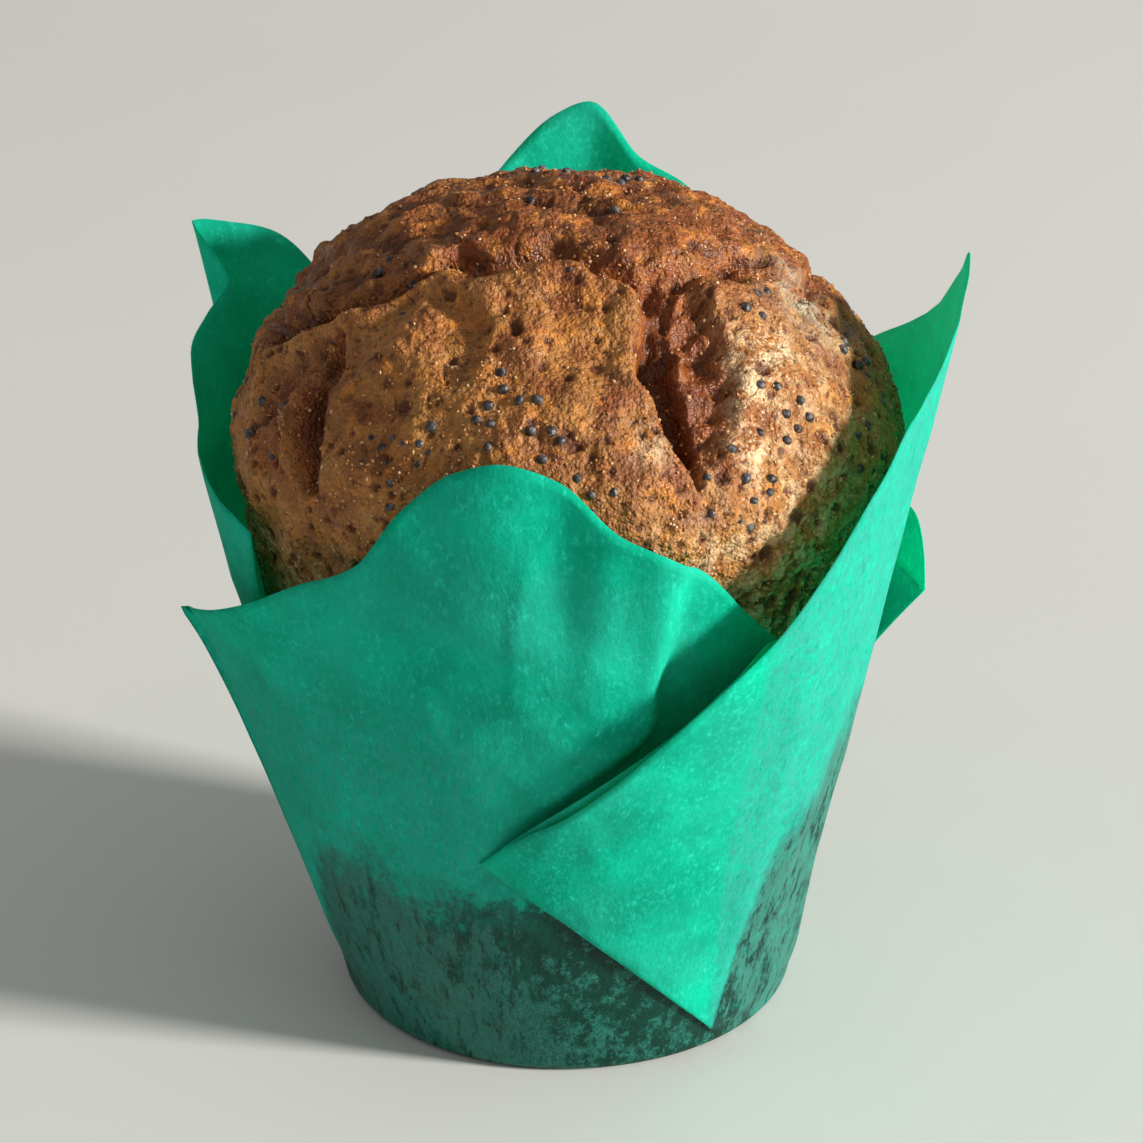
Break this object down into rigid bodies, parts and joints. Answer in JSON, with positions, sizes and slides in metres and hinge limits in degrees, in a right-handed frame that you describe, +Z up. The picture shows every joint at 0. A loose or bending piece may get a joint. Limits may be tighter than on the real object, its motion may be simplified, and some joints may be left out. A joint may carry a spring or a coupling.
{
  "type": "muffin",
  "caption": "Poppy seed muffin with a domed, cracked crust, standing in a folded green paper baking case with tall pointed petals.",
  "frame": {"origin": "centre of the case's flat underside, on the surface it stands on", "axes": "+Z up through the cake, -Y towards the front, where the case's front petal stands and the right petal's flap lies over it, +X towards the right petal's tip"},
  "size_m": [0.084, 0.0851, 0.0918],
  "materials": {
    "crust": "golden brown baked crumb, rough, moist in the cracks",
    "case_paper": "thin dyed baking paper, matt, mottled fibres, grease spots low on the wall"
  },
  "bodies": {
    "root": {"muffin": "crust", "paper_case": "case_paper"}
  },
  "joints": []
}
